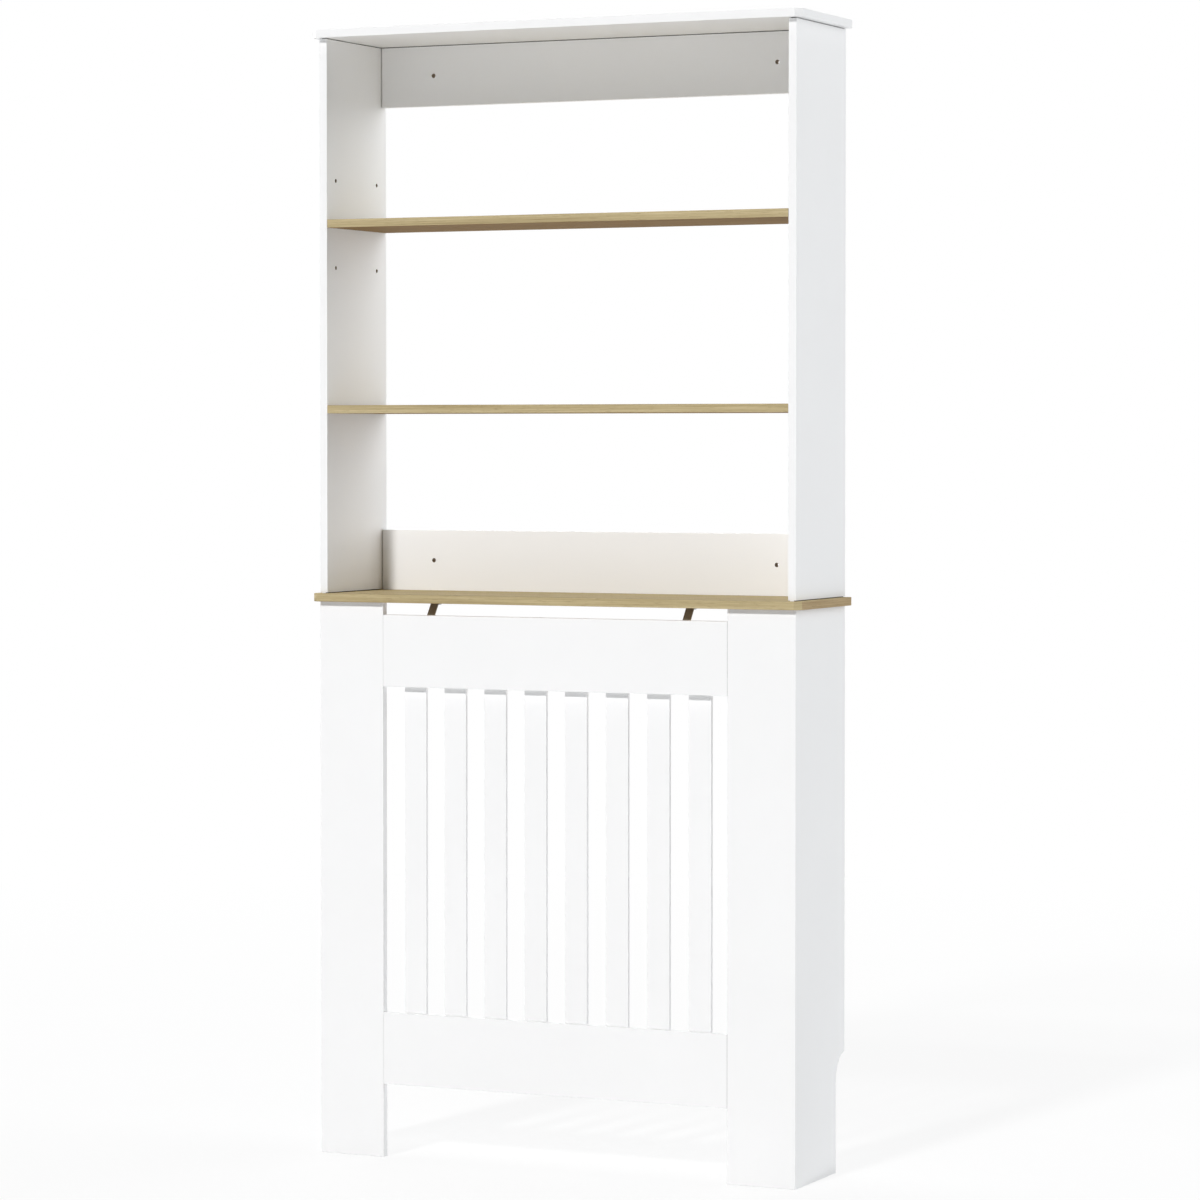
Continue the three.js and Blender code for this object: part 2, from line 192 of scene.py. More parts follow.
# %% [markdown]
# ## White lacquer
#
# The white boards are fibreboard with a sprayed satin lacquer. A single white looks like paper, so two faint
# things are added: a cloud of gloss that drifts along a board, and the orange peel of the spray gun, bumps
# about a millimetre wide and a few thousandths of a millimetre high. Both read Object coordinates, which are
# metres in the cabinet's own frame, so neighbouring boards differ and nothing slides when a piece moves.

# %% White lacquer
def paint_lacquer(tree):
    place = tree.node("TexCoord", output="Object")
    cloud = tree.noise(place, (5, 5, 5), detail=3)
    peel = tree.noise(place, (900, 900, 900), detail=1)
    tone = tree.node(
        "ValToRGB",
        {"stops": [(0.3, (0.904, 0.904, 0.906)), (0.7, (0.92, 0.92, 0.922))]},
        {"Fac": cloud},
    )
    return {
        "Base Color": tone,
        "Roughness": 0.38 + 0.1 * cloud + 0.04 * peel,
        "IOR": 1.46,
        "Normal": tree.bump(peel, 0.000004),
    }


lacquer = finish("satin_lacquer", paint_lacquer)
print("made", lacquer.name)

# %% [markdown]
# ## Oak foil
#
# The three oak boards are printed foil: pale greenish oak with fine straight grain. The print runs along each
# face and, on the glued edging, along each edge. Object coordinates cannot turn at an edge, so the boards
# carry a UV map named grain, in metres: its first number runs along the fibres and its second across them.
# Noise that is stretched about fifty times along the fibres gives the growth bands, finer noise gives the
# fibres, and the peaks of the finest are the short dark pores, also pressed into the foil. Faces that point
# down are tinted darker and browner, and faces that point along X a little darker: both tints are painted
# shade, picked out by the normal of the face.

# %% Oak foil
GRAIN_MAP = "grain"
OAK_PALE = (0.600, 0.500, 0.302)
OAK_MIDDLE = (0.490, 0.400, 0.226)
OAK_DARK = (0.375, 0.290, 0.150)
PORE_COLOUR = (0.260, 0.190, 0.095)
# Painted shade: this tint darkens and browns every face that points down.
DOWNWARD_SHADE_TINT = (0.57, 0.44, 0.32, 1)
# Painted shade: this tint darkens every face that points along X, the ends of the boards.
END_SHADE_TINT = (0.87, 0.79, 0.78, 1)


def paint_oak(tree):
    grain = tree.node("UVMap", {"uv_map": GRAIN_MAP})
    bands = tree.noise(grain, (1.6, 75, 1), detail=2)
    fibres = tree.noise(grain, (7, 620, 1), detail=3, roughness=0.6)
    pores = tree.noise(grain, (45, 1500, 1), detail=1) > 0.66
    stops = [(0.36, OAK_DARK), (0.5, OAK_MIDDLE), (0.64, OAK_PALE)]
    wood = tree.node("ValToRGB", {"stops": stops}, {"Fac": 0.45 * bands + 0.55 * fibres})
    facing = tree.node("NewGeometry", output="Normal")
    along = tree.node("SeparateXYZ", None, {"Vector": facing}, output="X")
    up = tree.node("SeparateXYZ", None, {"Vector": facing}, output="Z")
    tint = {"data_type": "RGBA", "blend_type": "MULTIPLY"}
    # Painted shade: faces that point along X are darkened.
    ends = {"Factor": (along * along) > 0.8, "A": wood, "B": END_SHADE_TINT}
    # Painted shade: faces that point down are darkened and browned.
    downward_shade = {"Factor": (-1 * up) > 0.5, "A": tree.node("Mix", tint, ends, output=2), "B": DOWNWARD_SHADE_TINT}
    colour = tree.node(
        "Mix",
        {"data_type": "RGBA"},
        {"Factor": 0.6 * pores, "A": tree.node("Mix", tint, downward_shade, output=2), "B": (*PORE_COLOUR, 1)},
        output=2,
    )
    return {
        "Base Color": colour,
        "Roughness": 0.62 + 0.12 * fibres + 0.1 * pores,
        "Specular IOR Level": 0.08,
        "Normal": tree.bump(fibres - pores, 0.00001),
    }


oak = finish("oak_print", paint_oak)
print("made", oak.name)

# %% [markdown]
# ## Raw board, steel and beech
#
# These finishes are seen only close up. Inside the holes the fibreboard is bare: brown, matt and speckled
# with fibres. The walls of the joint slivers, where a board meets another, are painted nearly black as
# painted shade of the gap. The braces are steel strip with a satin bronze coat. Cams, bolts, pegs and screws
# are zinc-plated, a bluish metal whose crystals vary in gloss. The dowels are beech, with the short flecks
# that beech has.

# %% Small finishes
def fibreboard(tree, dark, pale):
    """Speckled, matt fibreboard between two colours."""
    place = tree.node("TexCoord", output="Object")
    speck = tree.noise(place, (1500, 1500, 1500), detail=3, roughness=0.7)
    return {
        "Base Color": tree.node("ValToRGB", {"stops": [(0.35, dark), (0.65, pale)]}, {"Fac": speck}),
        "Roughness": 0.85,
        "Normal": tree.bump(speck, 0.0001),
    }


def paint_raw_board(tree):
    return fibreboard(tree, (0.24, 0.175, 0.11), (0.42, 0.33, 0.235))


def paint_gap_shade(tree):
    # Painted shade: nearly black, standing for the shade inside the gap where two boards meet.
    return fibreboard(tree, (0.030, 0.024, 0.018), (0.060, 0.050, 0.040))


def paint_bronze(tree):
    place = tree.node("TexCoord", output="Object")
    cloud = tree.noise(place, (60, 60, 60), detail=3)
    rolled = tree.noise(place, (1400, 120, 120), detail=2)
    stops = [(0.3, (0.37, 0.335, 0.265)), (0.7, (0.49, 0.45, 0.37))]
    return {
        "Base Color": tree.node("ValToRGB", {"stops": stops}, {"Fac": 0.6 * cloud + 0.4 * rolled}),
        "Metallic": 0.6,
        "Roughness": 0.4 + 0.16 * cloud,
        "Normal": tree.bump(rolled, 0.00001),
    }


def paint_zinc(tree):
    place = tree.node("TexCoord", output="Object")
    crystals = tree.node("TexVoronoi", None, {"Vector": place, "Scale": 700.0}, output="Distance")
    cloud = tree.noise(place, (150, 150, 150), detail=2)
    stops = [(0.3, (0.52, 0.535, 0.56)), (0.7, (0.66, 0.67, 0.68))]
    return {
        "Base Color": tree.node("ValToRGB", {"stops": stops}, {"Fac": cloud}),
        "Metallic": 1.0,
        "Roughness": 0.28 + 0.14 * crystals,
        "Normal": tree.bump(crystals, 0.00001),
    }


def paint_beech(tree):
    place = tree.node("TexCoord", output="Object")
    rings = tree.noise(place, (220, 420, 420), detail=2)
    flecks = tree.noise(place, (900, 900, 250), detail=1) > 0.62
    wood = tree.node(
        "ValToRGB",
        {"stops": [(0.35, (0.52, 0.36, 0.21)), (0.65, (0.66, 0.49, 0.31))]},
        {"Fac": rings},
    )
    fleck = {"Factor": 0.45 * flecks, "A": wood, "B": (0.38, 0.24, 0.13, 1)}
    return {
        "Base Color": tree.node("Mix", {"data_type": "RGBA"}, fleck, output=2),
        "Roughness": 0.58 + 0.1 * rings,
        "Normal": tree.bump(rings, 0.00003),
    }


raw_board = finish("bare_fibreboard", paint_raw_board)
gap_shade_board = finish("gap_shade_fibreboard", paint_gap_shade)
bronze = finish("bronze_coat", paint_bronze)
zinc = finish("zinc_plating", paint_zinc)
beech = finish("turned_beech", paint_beech)
print("made", ", ".join(made.name for made in (raw_board, gap_shade_board, bronze, zinc, beech)))

# %% [markdown]
# ## Floor, backdrop and lamps
#
# The picture shows the cabinet on pure white. The world is white for the camera and for mirrors, and a plain
# dim grey light for everything else. The floor is a pale plane that mixes its lit colour with that same
# white for the camera, so the horizon disappears and a faint shadow stays under the legs. Most of the light
# comes from three lamps. A small one high in front, a little to the left, draws the crisp shadow under the
# countertop and the top board. Two broad ones behind the cabinet light its left and right sides.

# %% Floor, backdrop and lamps
AMBIENT = (0.070, 0.073, 0.076)  # the surrounding light, where 1 is white
SUNS = {  # strength, height, turn to the right of the front and size in degrees, and colour
    "key": (2.2, 34, -6, 6, (1.0, 0.995, 0.99)),
    "back_left": (1.88, 25, -125, 60, (0.965, 0.985, 1.0)),
    "back_right": (1.68, 25, 125, 60, (0.97, 0.987, 1.0)),
}
FLOOR_WHITE = 0.85  # how much of the backdrop's white the floor takes under the cabinet
FLOOR_FADE = (0.6, 4.0)  # between these distances it comes to take all of it
FLOOR_REACH = 30  # from the cabinet to each edge of the floor


def seen_directly(tree):
    """1 for rays that the camera, a mirror or a pane sends out, 0 for rays that only carry light."""
    camera_ray = tree.node("LightPath", output="Is Camera Ray")
    mirror_ray = tree.node("LightPath", output="Is Glossy Ray")
    glass_ray = tree.node("LightPath", output="Is Transmission Ray")
    return camera_ray.math("MAXIMUM", camera_ray, camera_ray.math("MAXIMUM", mirror_ray, glass_ray))


world = bpy.data.worlds.new("studio")
scene.world = world
sky = Tree(world)
light = sky.node("Background", None, {"Color": (*AMBIENT, 1), "Strength": 1.0})
backdrop = sky.node("Background", None, {"Color": (1, 1, 1, 1), "Strength": 1.0})
sky.node(
    "OutputWorld",
    None,
    {"Surface": sky.node("MixShader", None, {"Fac": seen_directly(sky), 1: light, 2: backdrop})},
)

pale_floor = bpy.data.materials.new("pale_floor")
tree = Tree(pale_floor)
place = tree.node("TexCoord", output="Object")
stops = [(0.3, (0.9, 0.9, 0.9)), (0.7, (0.93, 0.93, 0.93))]
floor_tone = tree.node("ValToRGB", {"stops": stops}, {"Fac": tree.noise(place, (3, 3, 3))})
matt = tree.node("BsdfDiffuse", None, {"Color": floor_tone})
white = tree.node("Emission", None, {"Color": (1, 1, 1, 1), "Strength": 1.0})
distance = tree.node("VectorMath", {"operation": "LENGTH"}, {0: place}, output="Value")
fade = tree.node(
    "MapRange",
    None,
    {"Value": distance, "From Min": FLOOR_FADE[0], "From Max": FLOOR_FADE[1], "To Min": FLOOR_WHITE},
)
mixed = tree.node("MixShader", None, {"Fac": fade * seen_directly(tree), 1: matt, 2: white})
tree.node("OutputMaterial", None, {"Surface": mixed})
floor_mesh = bpy.data.meshes.new("floor")
corners = [(x * FLOOR_REACH, y * FLOOR_REACH, 0) for x, y in ((-1, -1), (1, -1), (1, 1), (-1, 1))]
floor_mesh.from_pydata(corners, [], [(0, 1, 2, 3)])
floor_mesh.materials.append(pale_floor)
floor = bpy.data.objects.new("floor", floor_mesh)
scene.collection.objects.link(floor)
floor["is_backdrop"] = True

for name, (strength, height, turn, size, colour) in SUNS.items():
    lamp = bpy.data.lights.new(name, "SUN")
    lamp.energy = strength
    lamp.color = colour
    lamp.angle = math.radians(size)
    hung = bpy.data.objects.new(name, lamp)
    hung.rotation_euler = (math.radians(90 - height), 0, math.radians(turn))
    scene.collection.objects.link(hung)
print("lamps", ", ".join(SUNS))

# %% [markdown]
# ## A board as a stack of outlines
#
# A board could be a scaled cube with a Bevel modifier. Three things speak against it here: the two broad
# boards have their front corners cut off, the leg boards meet in a mitre, and a leg's side is cut out for the
# skirting. So a board is a stack of flat outlines. An outline is a closed run of points, counter-clockwise.
# `inset` draws every edge inwards and `rounded` turns every corner into an arc. Between a board's two faces
# the outline goes evenly from the one's to the other's, which makes the mitre.

# %% Outlines
def edge_normals(outline):
    """Unit vectors out of each edge: the edge's direction turned a quarter turn clockwise."""
    along = np.roll(outline, -1, axis=0) - outline
    outward = np.stack([along[:, 1], -along[:, 0]], axis=1)
    return outward / np.linalg.norm(outward, axis=1, keepdims=True)


def inset(outline, depth):
    """Moves each edge inwards by its depth. A new corner x lies on both edges that meet there, so it solves
    normal . x = normal . old corner - depth for the one and for the other."""
    after = edge_normals(outline)
    before = np.roll(after, 1, axis=0)
    depths = np.broadcast_to(depth, len(outline))
    normals = np.stack([before, after], axis=1)
    reach = np.einsum("nij,nj->ni", normals, outline)
    reach = reach - np.stack([np.roll(depths, 1), depths], axis=1)
    return np.linalg.solve(normals, reach[..., None])[..., 0]


def rounded(outline, radius, steps=4):
    """Replaces each corner by an arc: centre + radius . (cos t, sin t), where the centre lies radius inside
    both edges and t turns from the normal of the edge before to the normal of the edge after."""
    after = edge_normals(outline)
    before = np.roll(after, 1, axis=0)
    start = np.arctan2(before[:, 1], before[:, 0])
    turn = np.arctan2(before[:, 0] * after[:, 1] - before[:, 1] * after[:, 0], (before * after).sum(axis=1))
    t = start[:, None] + turn[:, None] * np.linspace(0, 1, steps + 1)
    centre = inset(outline, radius)[:, None]
    return (centre + radius * np.stack([np.cos(t), np.sin(t)], axis=-1)).reshape(-1, 2)


def rectangle(left, bottom, right, top):
    """The four corners of an upright rectangle."""
    return np.array([(left, bottom), (right, bottom), (right, top), (left, top)])


print("a 20 mm square rounded by 5 mm has", len(rounded(rectangle(0, 0, 0.02, 0.02), 0.005)), "points")

# %% [markdown]
# ## From outlines to a mesh
#
# `solid` joins the outlines of a stack with quads and closes both ends, which gives a shell whose faces all
# point outwards. Boards lie flat, stand across the cabinet or stand along its sides, and `LIE` holds the
# three directions of each: along an outline's two axes and up the stack. The same function writes the grain
# map. On the two faces it is the place in the outline, and on the edges it is the distance round the outline
# and the height in the stack, so the grain runs along every edge as glued edging does.

# %% Stacks and pieces
LIE = {
    "flat": np.array([(1, 0, 0), (0, 1, 0), (0, 0, 1)]),
    "across": np.array([(1, 0, 0), (0, 0, 1), (0, -1, 0)]),
    "side": np.array([(0, 1, 0), (0, 0, 1), (1, 0, 0)]),
}
PRINT_STEP = 0.37  # metres from one board's place in the printed grain to the next one's


def at_height(outline, height):
    """An outline as one ring of a stack: its points with the height added to each."""
    return np.column_stack([outline, np.full(len(outline), height)])


def wall_map(stack, start):
    """Grain map of the walls: distance round the first outline, and height from start, for each quad's
    four corners."""
    rows, count = stack.shape[:2]
    outline = stack[0, :, :2]
    steps = np.linalg.norm(np.roll(outline, -1, axis=0) - outline, axis=1)
    distance = np.concatenate([[0], np.cumsum(steps)])
    height = stack[:, 0, 2] + start
    here, there = np.meshgrid(np.arange(rows - 1), np.arange(count), indexing="ij")
    ring = np.stack([here, here, here + 1, here + 1], axis=-1)
    point = np.stack([there, there + 1, there + 1, there], axis=-1)
    return np.stack([distance[point], height[ring]], axis=-1).reshape(-1, 2)


def solid(name, stack, lie, finish_used):
    """A closed object from a stack of outlines (rows x points x 3, in the directions of LIE)."""
    rows, count = stack.shape[:2]
    index = np.arange(rows * count).reshape(rows, count)
    beside = np.roll(index, -1, axis=1)
    quads = np.stack([index[:-1], beside[:-1], beside[1:], index[1:]], axis=-1).reshape(-1, 4)
    mesh = bpy.data.meshes.new(name)
    places = stack.reshape(-1, 3) @ LIE[lie]
    mesh.from_pydata(places, [], [*quads.tolist(), index[0, ::-1].tolist(), index[-1].tolist()])
    seed = PRINT_STEP * len(bpy.data.meshes)
    ends = np.concatenate([stack[0, ::-1, :2] + seed, stack[-1, :, :2] - seed])
    grain = mesh.uv_layers.new(name=GRAIN_MAP)
    grain.uv.foreach_set("vector", np.concatenate([wall_map(stack, seed), ends]).ravel())
    mesh.materials.append(finish_used)
    made = bpy.data.objects.new(name, mesh)
    scene.collection.objects.link(made)
    return made


def turned(name, profile, middle, lie, finish_used, sides=32):
    """A lathe shape: one circle about middle, a place in the outline's plane, for each (radius, height)."""
    turn = np.linspace(0, 2 * math.pi, sides, endpoint=False)
    circle = np.column_stack([np.cos(turn), np.sin(turn), np.zeros(sides)])
    radius, height = np.array(profile).T
    stack = circle * radius[:, None, None]
    stack[..., :2] += middle
    stack[..., 2] = height[:, None]
    return solid(name, stack, lie, finish_used)


def keep(piece, slot, *replaced, body="cabinet"):
    """Registers a finished piece: the body it rides on and what it replaces. Its slot is not used."""
    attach(piece, body)
    if replaced:
        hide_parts(*replaced)
    return piece


print("directions", ", ".join(LIE))

# %% [markdown]
# ## Eased edges
#
# No real board has a knife edge. These are drawn in by a fraction of a millimetre along a quarter circle,
# which catches a thin line of light on each arris and leaves a fine shadow line where two boards meet. Edges
# that are glued into a mitre stay square.

# %% The profile of a board
EASE = 0.0005


def board_stack(near, far, bottom, top, eased=1.0):
    """Outlines from bottom to top. With a from 0 to 90 degrees, an outline rises by ease . (1 - cos a) and is
    drawn in by ease . (1 - sin a); the same profile is mirrored at the top. In between, the outline goes
    evenly from near to far."""
    angle = np.linspace(0, math.pi / 2, 4)
    rise, drawn = EASE * (1 - np.cos(angle)), EASE * (1 - np.sin(angle))
    heights = np.concatenate([bottom + rise, top - rise[::-1]])
    depths = np.concatenate([drawn, drawn[::-1]])
    parts = (heights - bottom) / (top - bottom)
    rings = [
        at_height(inset(near + part * (far - near), depth * eased), height)
        for part, depth, height in zip(parts, depths, heights)
    ]
    return np.stack(rings)


def box_of(node):
    """The lowest and the highest corner of a node's box, as arrays."""
    return tuple(np.array(corner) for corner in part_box(node))


def local_box(node, lie):
    """The two corners of a node's box, in the directions of LIE."""
    ends = np.array([LIE[lie] @ corner for corner in box_of(node)])
    return ends.min(axis=0), ends.max(axis=0)


low, high = local_box("middle_shelf", "flat")
print("middle shelf", [round(side * 1000) for side in high - low], "mm")

# %% [markdown]
# ## Drilling
#
# Flat-pack joints are holes: 12 mm cams, bolts, dowels and shelf pegs all sit in the boards. Holes could be
# left out, since most are closed by a fitting. They are drilled, because the spare peg holes, the wall holes
# and the cams' pockets are seen. Each fitting's box in the frame gives its hole: its axis is the direction
# whose two other sides are equal. A hole that ends at a face is carried through it. A Boolean modifier cuts
# it, and its Transfer setting gives the cut the bare fibreboard of the drill.

# %% Drilling
FIT_GAP = 0.0003  # play round a fitting
OPEN_PAST = 0.002  # a drill leaves the board by this much
LEAST_BITE = 0.0005  # a fitting that reaches less far into a board misses it
AT_FACE = 0.001  # a hole that ends this close to a face is open there
LIE_ALONG = ("side", "across", "flat")  # the directions whose stack runs along X, Y and Z


def bore(board, low, high):
    """A drill for the fitting in the box from low to high, or None where it misses the board."""
    board_low, board_high = box_of(board)
    if np.any(np.minimum(high, board_high) - np.maximum(low, board_low) < LEAST_BITE):
        return None
    sides = high - low
    unlike = [abs(sides[(axis + 1) % 3] - sides[(axis + 2) % 3]) for axis in range(3)]
    axis = int(np.argmin(unlike))
    radius = sides[(axis + 1) % 3] / 2 + FIT_GAP
    start, end = low.copy(), high.copy()
    start[axis] -= FIT_GAP
    end[axis] += FIT_GAP
    if abs(start[axis] - board_low[axis]) < AT_FACE:
        start[axis] = board_low[axis] - OPEN_PAST
    if abs(end[axis] - board_high[axis]) < AT_FACE:
        end[axis] = board_high[axis] + OPEN_PAST
    lie = LIE_ALONG[axis]
    ends = np.array([LIE[lie] @ start, LIE[lie] @ end])
    heights = np.sort(ends[:, 2])
    profile = [(radius, height) for height in heights]
    return turned("drill", profile, ends[:, :2].mean(axis=0), lie, raw_board)


def cut(piece, drills):
    """Cuts the drills out of the piece for good and throws them away."""
    for drill in drills:
        step = piece.modifiers.new("cut", "BOOLEAN")
        step.object = drill
        step.operation = "DIFFERENCE"
        step.solver = "EXACT"
        step.material_mode = "TRANSFER"
    finished = piece.evaluated_get(bpy.context.evaluated_depsgraph_get())
    mesh = bpy.data.meshes.new_from_object(finished)
    mesh.name = piece.name
    piece.modifiers.clear()
    piece.data = mesh
    for drill in drills:
        bpy.data.objects.remove(drill)
    return piece


fittings = [box_of(name) for name in nodes if name.startswith(("cam_", "dowel_", "shelf_peg_"))]


def drills_for(node):
    """A drill for each fitting that reaches into the node."""
    return [drill for drill in (bore(node, *box) for box in fittings) if drill]


print(len(fittings), "fittings to drill for")

# %% [markdown]
# ## Holes that wait for a fitting
#
# Two more rows of peg holes lie 64 mm above and below the pegs in use, so the shelf can be moved. Each back
# rail has two holes for wall screws, and the top board is screwed down through four holes that end in a wide
# pocket for a cap. They join the list of boxes to drill for.

# %% Spare holes
ROW_STEP = 0.064
WALL_HOLE_RADIUS = 0.00325
WALL_HOLE_OUT = 0.2775
TOP_SCREW_OUT = 0.3715  # the middle of a tower side
TOP_SCREW_BACKS = (-0.055, 0.06)
TOP_SCREWS = [(side * TOP_SCREW_OUT, back) for side in (-1, 1) for back in TOP_SCREW_BACKS]
CAP_RADIUS, CAP_POCKET = 0.0045, 0.004
TOP_SHANK_RADIUS, TOP_SHANK_END = 0.0025, 0.04
BOARD = 0.012


def upright_box(across, back, radius, bottom, top):
    """The box round an upright bar."""
    return np.array((across - radius, back - radius, bottom)), np.array((across + radius, back + radius, top))


pegs = [name for name in nodes if name.startswith("shelf_peg_")]
for name in pegs:
    low, high = box_of(name)
    for shift in (-ROW_STEP, ROW_STEP):
        fittings.append((low + (0, 0, shift), high + (0, 0, shift)))
for rail in ("upper_back_rail", "lower_back_rail"):
    low, high = box_of(rail)
    height = (low[2] + high[2]) / 2
    reach = WALL_HOLE_RADIUS - FIT_GAP
    for side in (-1, 1):
        start = np.array((side * WALL_HOLE_OUT - reach, low[1], height - reach))
        fittings.append((start, start + (2 * reach, BOARD, 2 * reach)))
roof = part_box("top_board")[1].z
for across, back in TOP_SCREWS:
    fittings.append(upright_box(across, back, CAP_RADIUS, roof - CAP_POCKET, roof))
    fittings.append(upright_box(across, back, TOP_SHANK_RADIUS, roof - TOP_SHANK_END, roof - CAP_POCKET))
print(len(fittings), "boxes to drill for")

# %% [markdown]
# ## Fastening the braces
#
# Each brace is held by two pan-head screws, one into the back of the grille's top rail and one up into the
# countertop. Their places come from the brace's own box. The shanks join the list as well, so the boards are
# drilled for them.

# %% Places of the brace screws
FLANGE_HOLE_UP = 0.0104  # from the lower end of a brace
REACH_HOLE_IN = 0.0096  # from the end under the countertop
STRIP = 0.002  # thickness of a brace
SHANK_RADIUS = 0.0016
SHANK_LENGTH = 0.0095
brace_screws = []
for side in ("left", "right"):
    low, high = box_of("brace_" + side)
    across = (low[0] + high[0]) / 2
    rail_seat = np.array((across, low[1] + STRIP, low[2] + FLANGE_HOLE_UP))
    counter_seat = np.array((across, high[1] - REACH_HOLE_IN, high[2] - STRIP))
    brace_screws.append((f"brace_screw_rail_{side}", "across", rail_seat))
    brace_screws.append((f"brace_screw_countertop_{side}", "flat", counter_seat))
    reach = np.array((SHANK_RADIUS, 0, SHANK_RADIUS))
    fittings.append((rail_seat - reach - (0, SHANK_LENGTH, 0), rail_seat + reach))
    reach = np.array((SHANK_RADIUS, SHANK_RADIUS, 0))
    fittings.append((counter_seat - reach, counter_seat + reach + (0, 0, SHANK_LENGTH)))
print([name for name, lie, seat in brace_screws])

# %% [markdown]
# ## Joint lines
#
# Where one board stands against another, a thin dark line shows: sawn ends are never quite full at their
# edges. Shading alone does not draw it, so a saw takes a sliver off such an edge: about a millimetre wide and
# three deep, and much finer where the grille's rails meet the stiles. The sliver's walls are painted nearly
# black, as painted shade of the gap. The slivers are listed for each board.

# %% Joint lines
LINE, FINE_LINE, LINE_DEPTH = 0.0011, 0.0002, 0.003


def sliver(node, axis, at_top, width, face_axis, face_at_top):
    """The box that a saw takes from a node along one end of one axis, as deep as a line into one face."""
    low, high = box_of(node)
    start, end = low - OPEN_PAST, high + OPEN_PAST
    for direction, top, reach in ((axis, at_top, width), (face_axis, face_at_top, LINE_DEPTH)):
        if top:
            start[direction] = high[direction] - reach
        else:
            end[direction] = low[direction] + reach
    return start, end


slivers = {}
for side in ("left", "right"):
    node = "upper_side_" + side
    places = [(top, face) for top in (False, True) for face in (False, True)]
    slivers[node] = [sliver(node, 2, top, LINE, 0, face) for top, face in places]
    slivers[node].append(sliver(node, 2, True, LINE, 1, False))
for node in ("upper_back_rail", "lower_back_rail"):
    slivers[node] = [sliver(node, 0, top, LINE, 1, False) for top in (False, True)]
slivers["upper_back_rail"].append(sliver("upper_back_rail", 2, True, LINE, 1, False))
for node in ("grille_top_rail", "grille_bottom_rail"):
    slivers[node] = [sliver(node, 0, top, FINE_LINE, 1, False) for top in (False, True)]


def saw(low, high):
    """A box to cut with; its walls pass the nearly black painted shade into the cut."""
    outline = rectangle(low[0], low[1], high[0], high[1])
    rings = [at_height(outline, height) for height in (low[2], high[2])]
    return solid("saw", np.stack(rings), "flat", gap_shade_board)


print(sum(map(len, slivers.values())), "joint lines on", len(slivers), "boards")

# %% [markdown]
# ## Making a board
#
# `make_board` puts the last cells together: the stack, the drilling, the joint lines and the registration.
# The finished board takes the node's place, and the node stays behind it for collisions.

# %% make_board
BOARD_FINISHES = {"white_lacquer": lacquer, "oak_foil": oak}


def make_board(node, lie, near, far, eased=1.0, slot="white_lacquer", body="cabinet"):
    """A finished board in a node's place, between its outlines at the bottom and the top of the stack."""
    low, high = local_box(node, lie)
    stack = board_stack(near, far, low[2], high[2], eased)
    piece = solid(node + "_finished", stack, lie, BOARD_FINISHES[slot])
    drills = drills_for(node)
    cut(piece, drills + [saw(*box) for box in slivers.get(node, [])])
    print(piece.name, "drilled", len(drills), "times,", len(piece.data.polygons), "faces")
    return keep(piece, slot, node, body=body)


def plain_outline(node, lie):
    """The rectangle of a node's box."""
    low, high = local_box(node, lie)
    return rectangle(low[0], low[1], high[0], high[1])


print("boards are finished in", " or ".join(BOARD_FINISHES))

# %% [markdown]
# ## Square white boards
#
# The two back rails, the grille's rails, its eight slats and the tower's sides are plain rectangles. The
# slats are thinner and lie behind the rails.

# %% Rails, slats and tower sides
rails = ["upper_back_rail", "lower_back_rail", "grille_top_rail", "grille_bottom_rail"]
slats = [f"slat_{number}" for number in range(1, 9)]
for node in rails + slats:
    outline = plain_outline(node, "across")
    make_board(node, "across", outline, outline)
for node in ("upper_side_left", "upper_side_right"):
    outline = plain_outline(node, "side")
    make_board(node, "side", outline, outline)

# %% [markdown]
# ## Countertop and top board
#
# Both have the same plan: a rectangle whose front corners are cut off at 45 degrees. The corners of that
# outline are rounded a little, because edging is bent round them while it is warm.

# %% Boards with cut corners
CORNER_CUT = 0.009
EDGING_BEND = 0.0015


def cut_corner_outline(node):
    """A node's rectangle, counter-clockwise, with both front corners cut off and every corner rounded."""
    low, high = local_box(node, "flat")
    cut_in = low + CORNER_CUT
    corners = [(cut_in[0], low[1]), (high[0] - CORNER_CUT, low[1]), (high[0], cut_in[1])]
    corners += [(high[0], high[1]), (low[0], high[1]), (low[0], cut_in[1])]
    return rounded(np.array(corners), EDGING_BEND, steps=3)


for node, slot in (("countertop", "oak_foil"), ("top_board", "white_lacquer")):
    outline = cut_corner_outline(node)
    make_board(node, "flat", outline, outline, slot=slot)

# %% [markdown]
# ## Shelves
#
# The middle shelf is fixed. The upper shelf rests on four pegs and can be lifted. On the real piece a peg
# disappears into a groove that is milled from the shelf's underside, so the pegs don't show and the shelf
# can't slide off. The drill makes the round end of that groove, and a slot opens it downwards.

# %% Shelves
outline = plain_outline("middle_shelf", "flat")
make_board("middle_shelf", "flat", outline, outline, slot="oak_foil")
outline = plain_outline("upper_shelf", "flat")
upper_shelf = make_board(
    "upper_shelf", "flat", outline, outline, slot="oak_foil", body="adjustable_shelf"
)
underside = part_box("upper_shelf")[0].z
slots = []
for name in pegs:
    low, high = local_box(name, "side")
    middle = (low + high) / 2
    half = (high[0] - low[0]) / 2 + FIT_GAP
    slot = rectangle(middle[0] - half, underside - OPEN_PAST, middle[0] + half, middle[1])
    heights = (low[2] - FIT_GAP, high[2] + FIT_GAP)
    rings = [at_height(slot, height) for height in heights]
    slots.append(solid("slot", np.stack(rings), "side", raw_board))
cut(upper_shelf, slots)
print("peg grooves opened:", len(slots))

# %% [markdown]
# ## Legs
#
# A leg is an L of two boards with a mitre along its front edge, so no cut edge shows. The front board's back
# outline is narrower than its front outline by its own thickness, and the side's inner outline starts that
# much further back, which makes both slopes. The side is also cut out for a skirting board, with a quarter
# round at the top. A thin line of painted glue fills the mitre and rounds the arris.

# %% Legs
SEAM = 0.0004
NOTCH_FRONT, NOTCH_RISE, NOTCH_RADIUS = 0.065, 0.132, 0.04


